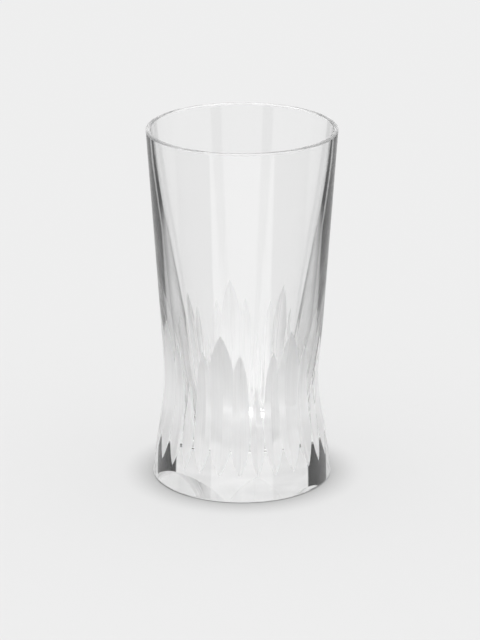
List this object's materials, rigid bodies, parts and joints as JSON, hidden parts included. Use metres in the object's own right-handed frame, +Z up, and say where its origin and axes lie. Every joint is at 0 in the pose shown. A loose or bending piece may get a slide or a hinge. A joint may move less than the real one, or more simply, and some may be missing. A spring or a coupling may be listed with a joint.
{
  "type": "mixing glass",
  "caption": "Tall clear bar mixing glass with a thick waisted body, a tapered well, a rounded rim and a band of frosted vertical cuts above a flared foot.",
  "frame": {"origin": "centre of the resting face under the foot", "axes": "+Z up along the glass's own axis, -Y toward the front, +X to the right seen from the front"},
  "size_m": [0.088, 0.088, 0.168],
  "materials": {
    "glass": "polished clear glass, with a satin finish on the cuts"
  },
  "bodies": {
    "root": {"glass_body": "glass"}
  },
  "joints": []
}
